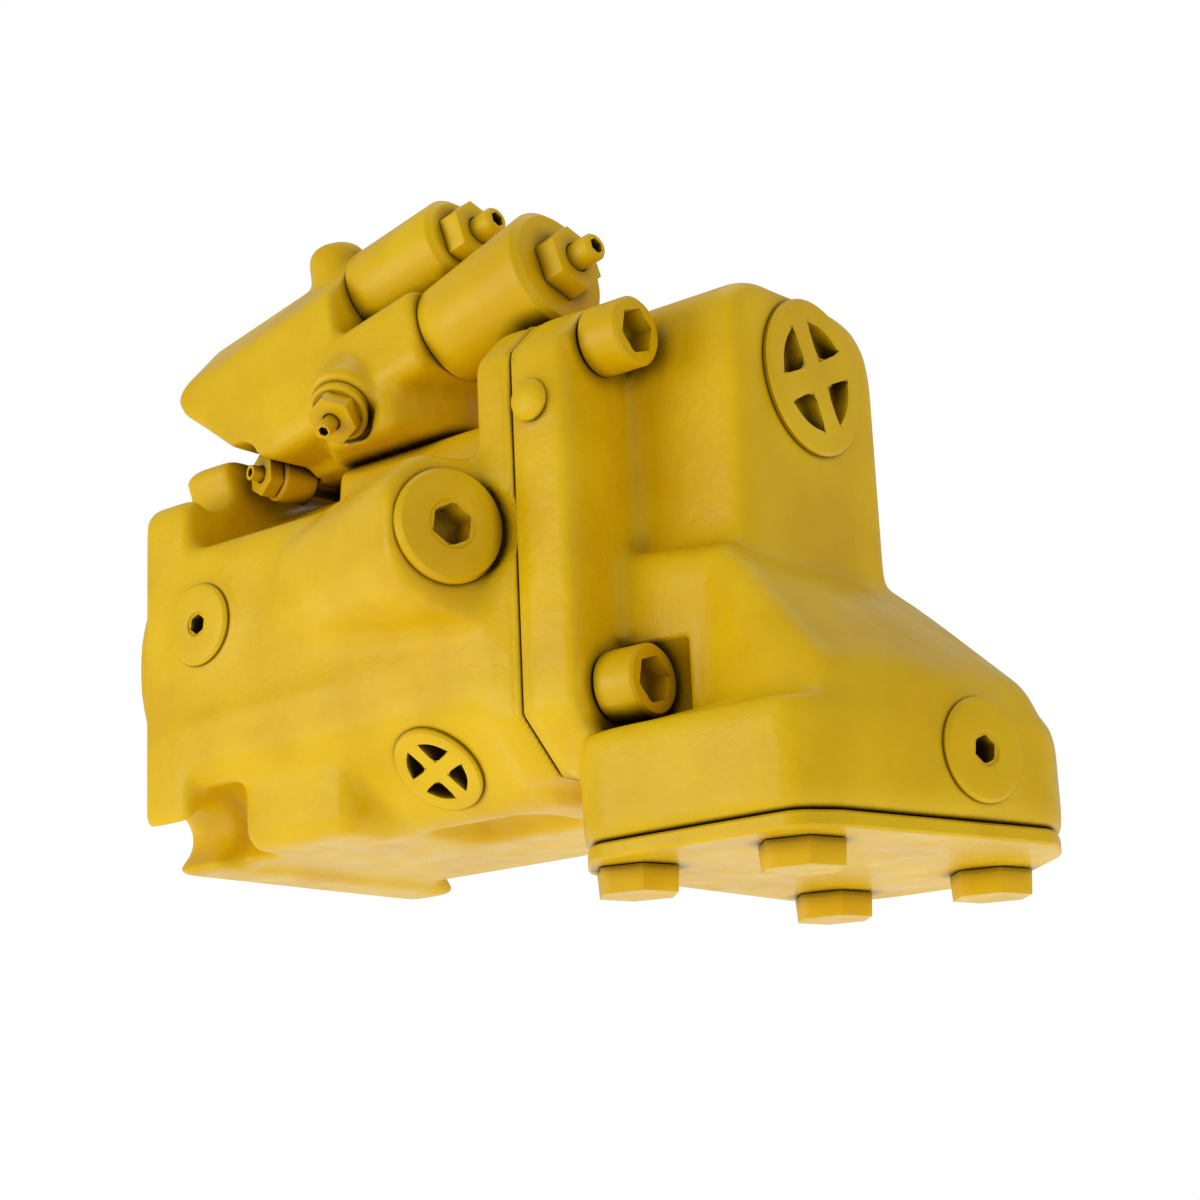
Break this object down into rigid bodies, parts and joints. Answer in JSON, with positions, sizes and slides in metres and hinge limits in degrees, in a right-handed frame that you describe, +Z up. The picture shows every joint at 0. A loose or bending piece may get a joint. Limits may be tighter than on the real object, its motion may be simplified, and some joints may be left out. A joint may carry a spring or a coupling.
{
  "type": "axial piston pump",
  "caption": "Variable axial piston pump with a swashplate, a side servo piston, a control valve on top and a rear port block with a capped suction port.",
  "frame": {"origin": "centre of the mounting flange's front face, on the drive shaft's axis", "axes": "+X along the shaft axis from the mounting flange towards the port block, +Z up towards the control valve, -Y towards the servo piston's side"},
  "size_m": [0.3735, 0.1902, 0.2613],
  "materials": {
    "yellow_paint": "gloss",
    "ground_steel": "ground",
    "spring_steel": "oiled",
    "bearing_bronze": "satin",
    "seal_rubber": "matt"
  },
  "bodies": {
    "casing": {"main_housing": "yellow_paint", "port_block": "yellow_paint", "suction_cover_plate": "yellow_paint", "suction_cover_bolt_1": "yellow_paint", "suction_cover_bolt_2": "yellow_paint", "suction_cover_bolt_3": "yellow_paint", "suction_cover_bolt_4": "yellow_paint", "port_block_screw_1": "yellow_paint", "port_block_screw_2": "yellow_paint", "port_block_screw_3": "yellow_paint", "port_block_screw_4": "yellow_paint", "servo_bore_plug": "yellow_paint", "case_drain_plug": "yellow_paint", "lower_drain_plug": "yellow_paint", "pressure_port_plug": "yellow_paint", "gauge_port_plug": "yellow_paint", "control_valve_body": "yellow_paint", "pressure_spring_cap": "yellow_paint", "flow_spring_cap": "yellow_paint", "pressure_lock_nut": "yellow_paint", "flow_lock_nut": "yellow_paint", "valve_orifice_plug": "yellow_paint", "valve_orifice_screw": "yellow_paint", "limiter_sleeve": "yellow_paint", "limiter_lock_nut": "yellow_paint", "limiter_screw": "yellow_paint", "valve_mounting_screw_1": "yellow_paint", "valve_mounting_screw_2": "yellow_paint", "front_bearing": "ground_steel", "rear_bearing": "ground_steel", "shaft_seal": "seal_rubber", "seal_retaining_ring": "spring_steel", "valve_plate": "bearing_bronze", "cradle_bearing_upper": "bearing_bronze", "cradle_bearing_lower": "bearing_bronze", "pressure_spring": "spring_steel", "flow_spring": "spring_steel"},
    "rotor": {"drive_shaft": "ground_steel", "cylinder_block": "ground_steel", "block_spring": "spring_steel", "ball_guide": "ground_steel"},
    "stroke_group": {"piston_1": "ground_steel", "piston_2": "ground_steel", "piston_3": "ground_steel", "piston_4": "ground_steel", "piston_5": "ground_steel", "piston_6": "ground_steel", "piston_7": "ground_steel", "piston_8": "ground_steel", "piston_9": "ground_steel", "slipper_retainer": "bearing_bronze"},
    "tilt_plate": {"swashplate": "ground_steel"},
    "servo_rod": {"servo_piston": "ground_steel"},
    "bias_rod": {"bias_piston": "ground_steel"},
    "pressure_valve_spool": {"pressure_spool": "ground_steel"},
    "flow_valve_spool": {"flow_spool": "ground_steel"},
    "pressure_seat": {"pressure_spring_seat": "ground_steel"},
    "flow_seat": {"flow_spring_seat": "ground_steel"},
    "pressure_adjuster": {"pressure_adjusting_screw": "yellow_paint"},
    "flow_adjuster": {"flow_adjusting_screw": "yellow_paint"}
  },
  "joints": [
    {"name": "shaft_spin", "type": "hinge", "parent": "casing", "child": "rotor", "pos_m": [0, 0, 0], "axis": [1, 0, 0], "continuous": true},
    {"name": "piston_stroke", "type": "slide", "parent": "rotor", "child": "stroke_group", "axis": [1, 0, 0], "range_m": [0, 0.0152]},
    {"name": "swash_tilt", "type": "hinge", "parent": "casing", "child": "tilt_plate", "pos_m": [0.08, 0, 0], "axis": [0, 0, 1], "range_deg": [0, 17]},
    {"name": "servo_stroke", "type": "slide", "parent": "casing", "child": "servo_rod", "axis": [0.9397, -0.342, 0], "range_m": [0, 0.0235]},
    {"name": "bias_stroke", "type": "slide", "parent": "casing", "child": "bias_rod", "axis": [1, 0, 0], "range_m": [-0.0212, 0]},
    {"name": "pressure_spool_travel", "type": "slide", "parent": "casing", "child": "pressure_valve_spool", "axis": [0.9827, -0.0343, 0.1822], "range_m": [-0.002, 0.002], "deforming": ["pressure_spring"]},
    {"name": "flow_spool_travel", "type": "slide", "parent": "casing", "child": "flow_valve_spool", "axis": [0.9827, -0.0343, 0.1822], "range_m": [-0.002, 0.002], "deforming": ["flow_spring"]},
    {"name": "pressure_setting", "type": "hinge", "parent": "pressure_seat", "child": "pressure_adjuster", "pos_m": [0.1782, -0.046, 0.1088], "axis": [0.9827, -0.0343, 0.1822], "range_deg": [-720, 720]},
    {"name": "pressure_preload", "type": "slide", "parent": "casing", "child": "pressure_seat", "axis": [0.9827, -0.0343, 0.1822], "range_m": [-0.0031, 0.0031], "deforming": ["pressure_spring"]},
    {"name": "flow_setting", "type": "hinge", "parent": "flow_seat", "child": "flow_adjuster", "pos_m": [0.12703, -0.03721, 0.13669], "axis": [0.9827, -0.0343, 0.1822], "range_deg": [-720, 720]},
    {"name": "flow_preload", "type": "slide", "parent": "casing", "child": "flow_seat", "axis": [0.9827, -0.0343, 0.1822], "range_m": [-0.0031, 0.0031], "deforming": ["flow_spring"]}
  ],
  "couplings": [
    {"joint": "servo_stroke", "follows": "swash_tilt", "m_per_rad": 0.0762},
    {"joint": "bias_stroke", "follows": "swash_tilt", "m_per_rad": -0.07},
    {"joint": "piston_stroke", "follows": "swash_tilt", "m_per_rad": 0.0505},
    {"joint": "pressure_preload", "follows": "pressure_setting", "m_per_rad": 0.00023873},
    {"joint": "flow_preload", "follows": "flow_setting", "m_per_rad": 0.00023873}
  ]
}
